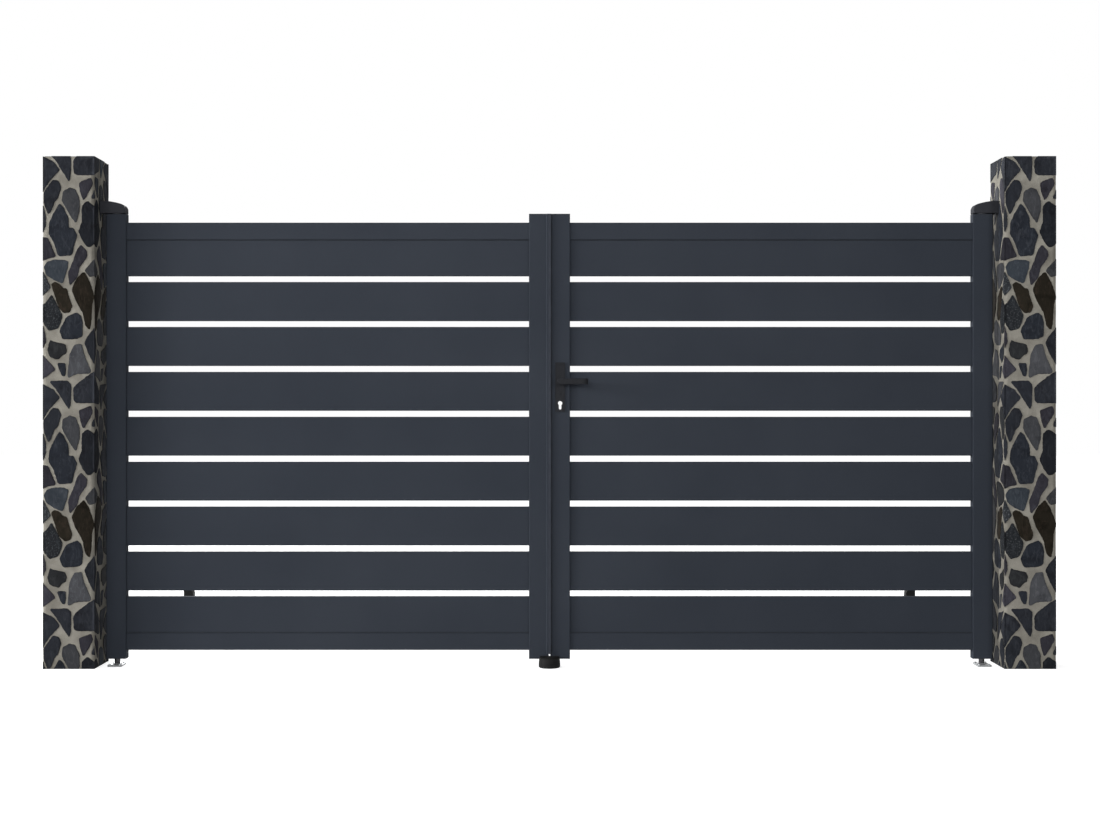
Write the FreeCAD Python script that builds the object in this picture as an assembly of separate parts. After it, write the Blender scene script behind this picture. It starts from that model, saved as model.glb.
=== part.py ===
import FreeCAD, Part
import os

# Two-leaf swing gate between stone-clad pillars, seen closed. All sizes are in mm.
# The origin is the centre of the left pillar's foot. X runs along the gate to the right pillar,
# Y points away from the street side, and Z is up. The leaves open towards +Y.

# Opening and pillars
opening_width = 3500.0
pillar_width = 200.0
pillar_depth = 200.0
pillar_height = 1974.0

# Leaves and their hollow posts at both ends, called stiles
leaf_bottom = 27.0
leaf_height = 1734.0
hinge_gap = 23.0
leaf_gap = 6.0
stile_width = 77.0
stile_depth = 42.0
stile_wall = 2.5
stile_corner = 2.0
cap_plate = 3.0
cap_plug = 18.0
cap_plug_wall = 3.0

# Rails and slats between the stiles
rail_inset = 33.5
rail_height = 66.5
rail_depth = 30.0
rail_wall = 2.0
rail_corner = 2.5
slat_count = 9
slat_height = 152.0
slat_depth = 24.0
slat_wall = 1.5
slat_corner = 1.5
slat_web = 1.2
slat_webs = 2
slat_plug = 2.0
slat_rebate = 10.5
infill_insert = 15.0
fit = 0.3

# Cover strip on the left leaf's edge, with a soft sealing lip over the joint between the leaves
strip_width = 11.0
strip_proud = 8.0
strip_chamfer = 3.0
lip_thickness = 3.0
lip_reach = 8.5
strip_bottom = 47.0
strip_top_inset = 0.5

# Top hinges: an arched housing on the pillar with a pin into the stile's bearing
hinge_length = 98.0
hinge_depth = 52.0
hinge_height = 48.0
hinge_end_height = 30.0
hinge_nose_radius = 24.0
hinge_edge = 2.5
hinge_wall = 4.0
hinge_wall_plate = 6.0
hinge_boss_diameter = 34.0
hinge_clearance = 3.0
hinge_bolt_diameter = 10.5
hinge_bolt_spacing = 24.0
hinge_bolt_z = 19.5
top_pin_diameter = 16.0
pin_grip = 25.0
pin_seat = 16.0
pin_running = 0.05
pin_chamfer = 1.5
bearing_depth = 30.0

# Ground pivots
foot_width = 54.0
foot_front = 50.0
foot_back = 30.0
foot_thickness = 6.0
foot_corner = 5.0
collar_diameter = 42.0
collar_height = 4.0
collar_shoulder = 0.35
ground_pin_diameter = 22.0
anchor_hole = 9.0
anchor_spacing_x = 38.0
anchor_spacing_y = 58.0

# Centre stop in front of the closed leaves
stop_clearance = 5.0
stop_radius = 42.0
stop_top_radius = 39.0
stop_height = 40.0
stop_belly = 14.0
stop_foot_edge = 3.0
stop_shoulder = 4.0
stop_straight = 30.0
stop_hole = 9.0
stop_counterbore = 18.0
stop_counterbore_depth = 12.0
stop_hole_spacing = 40.0

# Side stops that meet the opened leaves
side_stop_reach = 1450.0
side_stop_width = 44.0
side_stop_depth = 46.0
side_stop_height = 133.0
side_stop_round = 18.0
side_stop_base_length = 116.0
side_stop_hole_spacing = 90.0
buffer_clearance = 5.5
buffer_thickness = 6.0
buffer_diameter = 36.0
buffer_rim = 2.0
buffer_z = 86.0
buffer_screw_diameter = 8.0
buffer_screw_depth = 20.0
buffer_screw_play = 0.05

# Lock on the right leaf, centred in its meeting stile
cylinder_z = 1023.0
cylinder_diameter = 17.0
cylinder_height = 33.0
cylinder_slot = 10.0
lever_centres = 84.0
lock_plate_width = 37.0
lock_plate_bottom = 990.0
lock_plate_top = 1182.0
lock_plate_thickness = 4.0
lock_plate_corner = 3.0
case_bottom = 985.0
case_top = 1150.0
case_thickness = 16.0
case_wall = 1.5
case_back = 57.0
spindle_hole = 20.0
forend_width = 24.0
forend_bottom = 960.0
forend_top = 1180.0
latch_width = 12.0
latch_height = 34.0
latch_z = 1080.0
bolt_height = 40.0
bolt_z = 1006.0
bolt_depth = 20.0
strike_play = 2.0

# Lever handles
neck_diameter = 18.0
neck_running = 0.1
lever_height = 23.0
lever_thickness = 10.0
lever_proud = 51.0
lever_length = 108.5
lever_bend = 20.0
lever_return = 10.0
lever_edge = 2.0
spindle_side = 8.0
spindle_socket = 20.0
spindle_play = 0.05


def vec(x, y, z):
    return FreeCAD.Vector(x, y, z)


X = vec(1, 0, 0)
Y = vec(0, 1, 0)
Z = vec(0, 0, 1)

# How far a cutting tool runs past the faces that it cuts
over = 1.0

# The middle of a quarter circle lies this share of the radius along both directions
diagonal = 0.5 ** 0.5

# How near an edge lies to a plane to be picked there
edge_match = 0.001

# Places that follow from the sizes
left_face = pillar_width / 2
right_face = left_face + opening_width
centre_x = (left_face + right_face) / 2
right_pillar_x = right_face + pillar_width / 2
hinge_stile_x = left_face + hinge_gap + stile_width / 2
meeting_stile_x = centre_x - leaf_gap / 2 - stile_width / 2
infill_left = hinge_stile_x + stile_width / 2
infill_right = meeting_stile_x - stile_width / 2
leaf_top = leaf_bottom + leaf_height
stile_front = -stile_depth / 2
strip_length = leaf_top - strip_top_inset - strip_bottom
bottom_rail_z = leaf_bottom + rail_inset
top_rail_z = leaf_top - rail_inset - rail_height
first_slat_z = bottom_rail_z + rail_height - slat_rebate
last_slat_z = top_rail_z + slat_rebate - slat_height
slat_pitch = (last_slat_z - first_slat_z) / (slat_count - 1)
lock_x = 2 * centre_x - meeting_stile_x
buffer_face = hinge_stile_x - rail_depth / 2 - buffer_clearance
side_stop_face = buffer_face - buffer_thickness
lever_z = cylinder_z + lever_centres
hinge_drop = hinge_height - hinge_end_height
hinge_crown_radius = (hinge_length ** 2 + hinge_drop ** 2) / (2 * hinge_drop)


def box(x0, x1, y0, y1, z0, z1):
    return Part.makeBox(x1 - x0, y1 - y0, z1 - z0, vec(x0, y0, z0))


def cylinder(radius, base, direction, length):
    return Part.makeCylinder(radius, length, base, direction)


def mirrored(shape):
    """The same piece on the right-hand side of the gate."""
    return shape.mirror(vec(centre_x, 0, 0), X)


def outline(points):
    return Part.makePolygon(points + [points[0]])


def prism(points, direction):
    return Part.Face(outline(points)).extrude(direction)


def rounded_prism(place, half_a, half_b, radius, direction):
    """A bar whose section is a rectangle with rounded corners; place(a, b) gives a section point."""
    edges = []
    sides = [(1, 1), (-1, 1), (-1, -1), (1, -1)]
    cut = radius * (1 - diagonal)
    arcs = []
    for i, (sa, sb) in enumerate(sides):
        along_b = place(sa * half_a, sb * (half_b - radius))
        along_a = place(sa * (half_a - radius), sb * half_b)
        middle = place(sa * (half_a - cut), sb * (half_b - cut))
        first, last = (along_b, along_a) if i % 2 == 0 else (along_a, along_b)
        arcs.append((first, middle, last))
    for i, (first, middle, last) in enumerate(arcs):
        edges.append(Part.Arc(first, middle, last).toShape())
        edges.append(Part.LineSegment(last, arcs[(i + 1) % len(arcs)][0]).toShape())
    return Part.Face(Part.Wire(edges)).extrude(direction)


def bevelled_prism(place, half_a, half_b, bevel, direction):
    """A bar whose section is a rectangle with bevelled corners; place(a, b) gives a section point."""
    points = []
    for sa, sb in [(1, 1), (-1, 1), (-1, -1), (1, -1)]:
        along_b = place(sa * half_a, sb * (half_b - bevel))
        along_a = place(sa * (half_a - bevel), sb * half_b)
        points += [along_b, along_a] if sa == sb else [along_a, along_b]
    return prism(points, direction)


def flat_at(edge, axis, value):
    """True for an edge that lies in the plane where axis ("X", "Y" or "Z") has that value."""
    low = getattr(edge.BoundBox, axis + "Min")
    high = getattr(edge.BoundBox, axis + "Max")
    return abs(low - value) < edge_match and abs(high - value) < edge_match


def slat_z(number):
    return first_slat_z + (number - 1) * slat_pitch


# Pillars

def make_pillar(x):
    half = pillar_width / 2
    return box(x - half, x + half, -pillar_depth / 2, pillar_depth / 2, 0, pillar_height)


# Leaves

def make_slat(number):
    """A hollow slat with inner webs, its plugged ends standing in the stiles' pockets."""
    low = slat_z(number)
    x0 = infill_left - infill_insert
    length = infill_right + infill_insert - x0
    middle = low + slat_height / 2
    section = lambda a, b: vec(x0, a, middle + b)
    slat = bevelled_prism(section, slat_depth / 2, slat_height / 2, slat_corner, X * length)
    room = slat_height - 2 * slat_wall - slat_webs * slat_web
    chamber = room / (slat_webs + 1)
    half = slat_depth / 2 - slat_wall
    for i in range(slat_webs + 1):
        z0 = low + slat_wall + i * (chamber + slat_web)
        slat = slat.cut(box(x0 + slat_plug, x0 + length - slat_plug, -half, half, z0, z0 + chamber))
    return slat


def make_rail(low, channel_up):
    """A hollow rail with a channel along its inner edge that holds the outermost slat."""
    x0 = infill_left - infill_insert
    length = infill_right + infill_insert - x0
    middle = low + rail_height / 2
    section = lambda a, b: vec(x0, a, middle + b)
    rail = bevelled_prism(section, rail_depth / 2, rail_height / 2, rail_corner, X * length)
    channel = slat_rebate + 2 * fit
    half = rail_depth / 2 - rail_wall
    channel_half = slat_depth / 2 + fit
    if channel_up:
        hollow = (low + rail_wall, low + rail_height - channel - rail_wall)
        groove = (low + rail_height - channel, low + rail_height)
    else:
        hollow = (low + channel + rail_wall, low + rail_height - rail_wall)
        groove = (low, low + channel)
    rail = rail.cut(box(x0, x0 + length, -half, half, *hollow))
    return rail.cut(box(x0, x0 + length, -channel_half, channel_half, *groove))


def infill_pockets(x0, x1):
    """The holes through a stile's inner wall that take the slats and rails."""
    slat_half = slat_depth / 2 + fit
    rail_half = rail_depth / 2 + fit
    holes = []
    for number in range(1, slat_count + 1):
        z0 = slat_z(number)
        holes.append(box(x0, x1, -slat_half, slat_half, z0 - fit, z0 + slat_height + fit))
    for z0 in (bottom_rail_z, top_rail_z):
        holes.append(box(x0, x1, -rail_half, rail_half, z0 - fit, z0 + rail_height + fit))
    return holes


def make_stile(x, inner_side):
    """A rectangular tube between its two end caps; inner_side is +1 or -1 along X."""
    z0 = leaf_bottom + cap_plate
    length = leaf_height - 2 * cap_plate
    section = lambda a, b: vec(x + a, b, z0)
    tube = bevelled_prism(section, stile_width / 2, stile_depth / 2, stile_corner, Z * length)
    half_x = stile_width / 2 - stile_wall
    half_y = stile_depth / 2 - stile_wall
    tube = tube.cut(box(x - half_x, x + half_x, -half_y, half_y, z0, z0 + length))
    wall = sorted([x + inner_side * half_x, x + inner_side * stile_width / 2])
    for hole in infill_pockets(wall[0] - fit, wall[1] + fit):
        tube = tube.cut(hole)
    return tube


def make_cap(x, at_top, depth, bore):
    """An end cap: a plate flush with the tube and a plug inside it, bored for a pin where bore > 0."""
    z0 = leaf_top - cap_plate if at_top else leaf_bottom
    section = lambda a, b: vec(x + a, b, z0)
    plate = bevelled_prism(section, stile_width / 2, stile_depth / 2, stile_corner, Z * cap_plate)
    half_x = stile_width / 2 - stile_wall - fit
    half_y = stile_depth / 2 - stile_wall - fit
    inner = (z0 - depth, z0) if at_top else (z0 + cap_plate, z0 + cap_plate + depth)
    plug = box(x - half_x, x + half_x, -half_y, half_y, *inner)
    if bore > 0:
        reach = pin_grip + fit
        foot = vec(x, 0, leaf_top) if at_top else vec(x, 0, leaf_bottom)
        hole = cylinder(bore / 2 + pin_running, foot, -Z if at_top else Z, reach)
        return plate.fuse(plug).removeSplitter().cut(hole)
    room = cap_plug_wall
    plug = plug.cut(box(x - half_x + room, x + half_x - room, -half_y + room, half_y - room, *inner))
    return plate.fuse(plug).removeSplitter()


def make_leaf_caps():
    return Part.makeCompound([
        make_cap(hinge_stile_x, False, bearing_depth, ground_pin_diameter),
        make_cap(hinge_stile_x, True, bearing_depth, top_pin_diameter),
        make_cap(meeting_stile_x, False, cap_plug, 0),
        make_cap(meeting_stile_x, True, cap_plug, 0),
    ])


def make_cover_strip():
    """The rigid strip along the edge of the left meeting stile's front face."""
    x1 = meeting_stile_x + stile_width / 2
    x0 = x1 - strip_width
    front = stile_front - strip_proud
    points = [
        vec(x0, stile_front, strip_bottom),
        vec(x1, stile_front, strip_bottom),
        vec(x1, front, strip_bottom),
        vec(x0 + strip_chamfer, front, strip_bottom),
    ]
    return prism(points, Z * strip_length)


def make_seal_lip():
    """The soft lip that reaches from the strip over the joint, in front of the right leaf."""
    x0 = meeting_stile_x + stile_width / 2
    front = stile_front - strip_proud
    return box(x0, x0 + lip_reach, front, front + lip_thickness, strip_bottom, strip_bottom + strip_length)


# Top hinges

def arched_block(x0, x1, half_y, z0, radius, nose_radius):
    """A block under an arch that is highest at the pillar's face, with a rounded nose at x1."""
    centre_z = leaf_top + hinge_clearance + hinge_height - hinge_crown_radius
    middle = (x0 + x1) / 2
    z_a, z_m, z_b = [centre_z + (radius ** 2 - (x - left_face) ** 2) ** 0.5 for x in (x0, middle, x1)]
    crown = Part.Arc(vec(x0, -half_y, z_a), vec(middle, -half_y, z_m), vec(x1, -half_y, z_b))
    edges = [
        crown.toShape(),
        Part.LineSegment(vec(x1, -half_y, z_b), vec(x1, -half_y, z0)).toShape(),
        Part.LineSegment(vec(x1, -half_y, z0), vec(x0, -half_y, z0)).toShape(),
        Part.LineSegment(vec(x0, -half_y, z0), vec(x0, -half_y, z_a)).toShape(),
    ]
    block = Part.Face(Part.Wire(edges)).extrude(Y * (2 * half_y))
    nose = [e for e in block.Edges if flat_at(e, "X", x1) and flat_at(e, "Z", z_b)]
    return block.makeFillet(nose_radius, nose)


def make_top_hinge():
    """An arched cast housing on the pillar's face, hollow below round the pin's boss."""
    x0 = left_face
    x1 = left_face + hinge_length
    z0 = leaf_top + hinge_clearance
    half = hinge_depth / 2
    body = arched_block(x0, x1, half, z0, hinge_crown_radius, hinge_nose_radius)
    sides = [e for e in body.Edges if flat_at(e, "Y", -half) or flat_at(e, "Y", half)]
    rims = [e for e in sides if not flat_at(e, "Z", z0) and not flat_at(e, "X", x0)]
    body = body.makeChamfer(hinge_edge, rims)
    room = arched_block(x0 + hinge_wall_plate, x1 - hinge_wall, half - hinge_wall, z0 - over,
                        hinge_crown_radius - hinge_wall, hinge_nose_radius - hinge_wall)
    boss_foot = vec(hinge_stile_x, 0, z0)
    room = room.cut(cylinder(hinge_boss_diameter / 2, boss_foot, Z, hinge_height))
    body = body.cut(room)
    seat = cylinder(top_pin_diameter / 2, vec(hinge_stile_x, 0, z0 - over), Z, pin_seat + over)
    body = body.cut(seat)
    for side in (-1, 1):
        base = vec(x0 - over, side * hinge_bolt_spacing / 2, z0 + hinge_bolt_z)
        body = body.cut(cylinder(hinge_bolt_diameter / 2, base, X, hinge_wall_plate + 2 * over))
    return body


def make_top_pin():
    """The pin that is pressed into the housing and reaches into the stile's top bearing."""
    z0 = leaf_top - pin_grip
    z1 = leaf_top + hinge_clearance + pin_seat
    pin = cylinder(top_pin_diameter / 2, vec(hinge_stile_x, 0, z0), Z, z1 - z0)
    tip = [e for e in pin.Edges if flat_at(e, "Z", z0)]
    return pin.makeChamfer(pin_chamfer, tip)


# Ground pivots

def anchor_bore(x, y, diameter, thickness):
    """The cutter for an upright anchor hole through a plate that lies on the ground."""
    return cylinder(diameter / 2, vec(x, y, -over), Z, thickness + 2 * over)


def make_ground_plate():
    """The anchored plate with a domed collar round the pin."""
    x = hinge_stile_x
    middle = (foot_back - foot_front) / 2
    half_y = (foot_back + foot_front) / 2
    section = lambda a, b: vec(x + a, middle + b, 0)
    plate = rounded_prism(section, foot_width / 2, half_y, foot_corner, Z * foot_thickness)
    top = foot_thickness + collar_height
    rim = collar_diameter / 2
    inner = ground_pin_diameter / 2
    root = foot_thickness / 2
    shoulder = rim - (rim - inner) * collar_shoulder
    waist = top - collar_height * collar_shoulder
    section = [vec(0, 0, root), vec(rim, 0, root), vec(rim, 0, foot_thickness),
               vec(shoulder, 0, waist), vec(inner, 0, top), vec(0, 0, top)]
    collar = Part.Face(outline(section)).revolve(vec(0, 0, 0), Z, 360)
    collar.translate(vec(x, 0, 0))
    plate = plate.fuse(collar).removeSplitter()
    plate = plate.cut(cylinder(ground_pin_diameter / 2, vec(x, 0, -over), Z, top + 2 * over))
    for sx in (-1, 1):
        for sy in (-1, 1):
            hole_x = x + sx * anchor_spacing_x / 2
            hole_y = middle + sy * anchor_spacing_y / 2
            plate = plate.cut(anchor_bore(hole_x, hole_y, anchor_hole, foot_thickness))
    return plate


def make_ground_pin():
    z1 = leaf_bottom + pin_grip
    pin = cylinder(ground_pin_diameter / 2, vec(hinge_stile_x, 0, 0), Z, z1)
    tip = [e for e in pin.Edges if flat_at(e, "Z", z1)]
    return pin.makeChamfer(pin_chamfer, tip)


# Stops

def stop_profile(y, x_sign):
    """Half section of the centre stop, from its axis to its slightly bellied side."""
    points = [(0, 0), (stop_radius - stop_foot_edge, 0), (stop_radius, stop_foot_edge),
              (stop_radius, stop_belly), (stop_top_radius, stop_height - stop_shoulder),
              (stop_top_radius - stop_shoulder, stop_height), (0, stop_height)]
    return Part.Face(outline([vec(centre_x + x_sign * r, y, z) for r, z in points]))


def make_centre_stop():
    """A stop with a half-round nose; its flat back faces the closed leaves."""
    back = stile_front - stop_clearance
    nose = back - stop_straight
    right = stop_profile(nose, 1)
    left = stop_profile(nose, -1)
    round_end = right.revolve(vec(centre_x, nose, 0), Z, -180)
    body = round_end.fuse(right.extrude(Y * stop_straight)).fuse(left.extrude(Y * stop_straight))
    body = body.removeSplitter()
    for side in (-1, 1):
        hole_x = centre_x + side * stop_hole_spacing / 2
        body = body.cut(anchor_bore(hole_x, nose, stop_hole, stop_height))
        seat = vec(hole_x, nose, stop_height - stop_counterbore_depth)
        body = body.cut(cylinder(stop_counterbore / 2, seat, Z, stop_counterbore_depth + over))
    return body


def make_side_stop():
    """An anchored block beside the opened leaf, rounded over at the top on the leaf's side."""
    x1 = side_stop_face
    x0 = x1 - side_stop_width
    y0 = side_stop_reach - side_stop_depth / 2
    y1 = side_stop_reach + side_stop_depth / 2
    z1 = side_stop_height
    bow = side_stop_round * (1 - diagonal)
    arc = Part.Arc(vec(x1, y0, z1 - side_stop_round), vec(x1 - bow, y0, z1 - bow),
                   vec(x1 - side_stop_round, y0, z1))
    edges = [
        arc.toShape(),
        Part.LineSegment(vec(x1 - side_stop_round, y0, z1), vec(x0, y0, z1)).toShape(),
        Part.LineSegment(vec(x0, y0, z1), vec(x0, y0, 0)).toShape(),
        Part.LineSegment(vec(x0, y0, 0), vec(x1, y0, 0)).toShape(),
        Part.LineSegment(vec(x1, y0, 0), vec(x1, y0, z1 - side_stop_round)).toShape(),
    ]
    block = Part.Face(Part.Wire(edges)).extrude(Y * (y1 - y0))
    half = side_stop_base_length / 2
    centre = (x0 + x1) / 2
    section = lambda a, b: vec(centre + a, side_stop_reach + b, 0)
    base = rounded_prism(section, side_stop_width / 2, half, foot_corner, Z * foot_thickness)
    stop = block.fuse(base).removeSplitter()
    for side in (-1, 1):
        hole_y = side_stop_reach + side * side_stop_hole_spacing / 2
        stop = stop.cut(anchor_bore(centre, hole_y, anchor_hole, foot_thickness))
    screw = vec(x1 - buffer_screw_depth, side_stop_reach, buffer_z)
    return stop.cut(cylinder(buffer_screw_diameter / 2, screw, X, buffer_screw_depth + over))


def make_side_buffer():
    """The rubber buffer on the side stop, with its screw stem in the block."""
    x0 = side_stop_face
    pad = cylinder(buffer_diameter / 2, vec(x0, side_stop_reach, buffer_z), X, buffer_thickness)
    rim = [e for e in pad.Edges if flat_at(e, "X", buffer_face)]
    pad = pad.makeChamfer(buffer_rim, rim)
    stem_base = vec(x0 - buffer_screw_depth + fit, side_stop_reach, buffer_z)
    stem = cylinder(buffer_screw_diameter / 2 - buffer_screw_play, stem_base, X, buffer_screw_depth)
    return pad.fuse(stem).removeSplitter()


# Lock

def cylinder_hole(y0, y1):
    """The standard hole of a profile lock cylinder, from y0 to y1."""
    radius = cylinder_diameter / 2
    slot = cylinder_slot / 2
    bottom = cylinder_z + radius - cylinder_height + slot
    length = y1 - y0
    hole = cylinder(radius, vec(lock_x, y0, cylinder_z), Y, length)
    hole = hole.fuse(box(lock_x - slot, lock_x + slot, y0, y1, bottom, cylinder_z))
    hole = hole.fuse(cylinder(slot, vec(lock_x, y0, bottom), Y, length))
    return hole.removeSplitter()


def edge_slot(x0, x1, width, low, high):
    """A slot with round ends in a stile's outer edge, as a cutter or as the plate that fills it."""
    radius = width / 2
    slot = box(x0, x1, -radius, radius, low + radius, high - radius)
    for z in (low + radius, high - radius):
        slot = slot.fuse(cylinder(radius, vec(x0, 0, z), X, x1 - x0))
    return slot.removeSplitter()


def bolt_holes(x0, x1, grow):
    """The latch and the dead bolt as blocks from x0 to x1, grown all round by grow."""
    half = latch_width / 2 + grow
    latch = box(x0, x1, -half, half, latch_z - grow, latch_z + latch_height + grow)
    bolt = box(x0, x1, -half, half, bolt_z - grow, bolt_z + bolt_height + grow)
    return [latch, bolt]


def make_lock_stile():
    """The right meeting stile with its holes for the lock."""
    stile = mirrored(make_stile(meeting_stile_x, -1))
    outer = lock_x - stile_width / 2
    reach = stile_depth / 2 + over
    stile = stile.cut(cylinder_hole(-reach, reach))
    stile = stile.cut(cylinder(spindle_hole / 2, vec(lock_x, -reach, lever_z), Y, 2 * reach))
    slot = edge_slot(outer - over, outer + stile_wall + over, forend_width + 2 * fit,
                     forend_bottom - fit, forend_top + fit)
    return stile.cut(slot)


def make_strike_stile():
    """The left meeting stile with the slot for its strike plate."""
    stile = make_stile(meeting_stile_x, -1)
    outer = meeting_stile_x + stile_width / 2
    slot = edge_slot(outer - stile_wall - over, outer + over, forend_width + 2 * fit,
                     forend_bottom - fit, forend_top + fit)
    return stile.cut(slot)


def make_strike_plate():
    outer = meeting_stile_x + stile_width / 2
    plate = edge_slot(outer - stile_wall, outer, forend_width, forend_bottom, forend_top)
    for hole in bolt_holes(outer - stile_wall - over, outer + over, strike_play):
        plate = plate.cut(hole)
    return plate


def make_lock_case():
    """The mortice lock: a thin-walled case behind its edge plate, with holes for spindle and cylinder."""
    outer = lock_x - stile_width / 2
    plate = edge_slot(outer, outer + stile_wall, forend_width, forend_bottom, forend_top)
    half = case_thickness / 2
    x0 = outer + stile_wall
    x1 = outer + case_back
    case = box(x0, x1, -half, half, case_bottom, case_top)
    inner = box(x0, x1 - case_wall, -half + case_wall, half - case_wall,
                case_bottom + case_wall, case_top - case_wall)
    lock = plate.fuse(case.cut(inner)).removeSplitter()
    for hole in bolt_holes(outer - over, x0 + over, fit):
        lock = lock.cut(hole)
    reach = half + over
    lock = lock.cut(cylinder_hole(-reach, reach))
    return lock.cut(cylinder(spindle_hole / 2, vec(lock_x, -reach, lever_z), Y, 2 * reach))


def make_lock_bolts():
    """The latch and the dead bolt, drawn back flush with the edge plate."""
    outer = lock_x - stile_width / 2
    return Part.makeCompound(bolt_holes(outer, outer + bolt_depth, 0))


def make_lock_plate(front):
    """The long plate on the stile's face, bored for the lever's neck and the lock cylinder."""
    sign = -1 if front else 1
    middle = (lock_plate_bottom + lock_plate_top) / 2
    half_z = (lock_plate_top - lock_plate_bottom) / 2
    face = sign * stile_depth / 2
    section = lambda a, b: vec(lock_x + a, face, middle + b)
    way = Y * (sign * lock_plate_thickness)
    plate = rounded_prism(section, lock_plate_width / 2, half_z, lock_plate_corner, way)
    outside = face + sign * lock_plate_thickness
    low = min(face, outside) - over
    high = max(face, outside) + over
    plate = plate.cut(cylinder_hole(low, high))
    bore = neck_diameter / 2 + neck_running
    return plate.cut(cylinder(bore, vec(lock_x, low, lever_z), Y, high - low))


def make_lever():
    """The front lever: a flat bar bent back at its end, on a round neck through the plate."""
    plate_face = stile_front - lock_plate_thickness
    out = plate_face - lever_proud
    inside = out + lever_thickness
    half = lever_height / 2
    low = lever_z - half
    bend_x = lock_x + lever_length - lever_bend
    bend_y = out + lever_bend
    end_x = lock_x + lever_length
    bar = box(lock_x, bend_x, out, inside, low, low + lever_height)
    bar = bar.fuse(cylinder(half, vec(lock_x, out, lever_z), Y, lever_thickness))
    face = Part.Face(outline([vec(bend_x, out, low), vec(bend_x, inside, low),
                              vec(bend_x, inside, low + lever_height),
                              vec(bend_x, out, low + lever_height)]))
    bend = face.revolve(vec(bend_x, bend_y, 0), Z, 90)
    tail = box(end_x - lever_thickness, end_x, bend_y, bend_y + lever_return, low, low + lever_height)
    bar = bar.fuse(bend).fuse(tail).removeSplitter()
    bar = bar.makeChamfer(lever_edge, bar.Edges)
    root = inside - lever_thickness / 2
    neck = cylinder(neck_diameter / 2, vec(lock_x, root, lever_z), Y, stile_front - root)
    lever = bar.fuse(neck).removeSplitter()
    half = spindle_side / 2 + spindle_play
    reach = stile_front - spindle_socket
    return lever.cut(box(lock_x - half, lock_x + half, reach, stile_front + over,
                         lever_z - half, lever_z + half))


def make_spindle():
    half = spindle_side / 2
    reach = -stile_front + spindle_socket - fit
    return box(lock_x - half, lock_x + half, -reach, reach, lever_z - half, lever_z + half)


def build_parts():
    parts = {}
    parts["left_pillar"] = make_pillar(0)
    parts["right_pillar"] = make_pillar(right_pillar_x)
    pairs = {
        "top_hinge": make_top_hinge(),
        "top_pin": make_top_pin(),
        "ground_plate": make_ground_plate(),
        "ground_pin": make_ground_pin(),
        "side_stop": make_side_stop(),
        "side_buffer": make_side_buffer(),
        "hinge_stile": make_stile(hinge_stile_x, 1),
        "stile_caps": make_leaf_caps(),
        "bottom_rail": make_rail(bottom_rail_z, True),
        "top_rail": make_rail(top_rail_z, False),
    }
    for number in range(1, slat_count + 1):
        pairs["slat_%d" % number] = make_slat(number)
    for name, shape in pairs.items():
        parts["left_" + name] = shape
        parts["right_" + name] = mirrored(shape)
    parts["left_meeting_stile"] = make_strike_stile()
    parts["right_meeting_stile"] = make_lock_stile()
    parts["left_cover_strip"] = make_cover_strip()
    parts["left_seal_lip"] = make_seal_lip()
    parts["left_strike_plate"] = make_strike_plate()
    parts["centre_stop"] = make_centre_stop()
    parts["lock_case"] = make_lock_case()
    parts["lock_bolts"] = make_lock_bolts()
    parts["lock_front_plate"] = make_lock_plate(True)
    parts["lock_back_plate"] = make_lock_plate(False)
    parts["front_lever"] = make_lever()
    parts["back_lever"] = make_lever().mirror(vec(0, 0, 0), Y)
    parts["lever_spindle"] = make_spindle()
    return parts


os.makedirs("parts", exist_ok=True)
for name, shape in build_parts().items():
    shape.exportStep("parts/%s.step" % name)
    print(name, len(shape.Solids), shape.isValid(), round(shape.Volume / 1000, 1))
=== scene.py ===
import math
import random

import bmesh
import bpy
from mathutils import Matrix, Vector, noise


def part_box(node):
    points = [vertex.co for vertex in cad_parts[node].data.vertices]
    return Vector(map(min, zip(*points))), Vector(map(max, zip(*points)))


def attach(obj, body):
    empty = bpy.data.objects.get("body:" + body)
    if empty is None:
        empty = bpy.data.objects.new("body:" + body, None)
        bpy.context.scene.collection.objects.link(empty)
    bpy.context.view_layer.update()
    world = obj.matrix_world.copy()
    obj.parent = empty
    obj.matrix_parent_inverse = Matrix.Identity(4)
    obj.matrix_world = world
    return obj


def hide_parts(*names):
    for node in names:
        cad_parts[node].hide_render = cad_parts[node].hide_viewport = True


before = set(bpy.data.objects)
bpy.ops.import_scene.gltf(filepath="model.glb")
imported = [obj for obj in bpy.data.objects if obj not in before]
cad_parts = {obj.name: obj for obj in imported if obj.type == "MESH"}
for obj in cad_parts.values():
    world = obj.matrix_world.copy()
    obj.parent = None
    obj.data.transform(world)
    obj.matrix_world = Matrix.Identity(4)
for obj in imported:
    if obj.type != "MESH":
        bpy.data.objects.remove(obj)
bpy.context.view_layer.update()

MM = 0.001
TINY = 1e-6
UP = (0, 0, 1)
WHITE = (1.0, 1.0, 1.0, 1.0)

# The camera stands straight in front of the joint between the leaves, half-way up
PHOTO_WIDTH = 1100
FOCAL_PIXELS = 1584.0
CAMERA_PLACE = (1.850, -6.192, 0.987)
SENSOR_WIDTH = 36.0
CLIP_END = 100.0
# How far the picture's centre lies right of and above the camera's axis, in the photo's pixels
CENTRE_SHIFT = (0.5, 0.45)

# Sizes in millimetres, as in the part's source
PILLAR_SIDE = 200.0
PILLAR_HEIGHT = 1974.0
LEFT_PILLAR_X = 0.0
RIGHT_PILLAR_X = 3700.0
GATE_MIDDLE_X = 1850.0
HINGE_STILE_X = 161.5
LEAF_TOP = 1761.0
HINGE_BOTTOM = 1764.0
STRIP_BOTTOM = 47.0
STRIP_TOP = 1760.5

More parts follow.
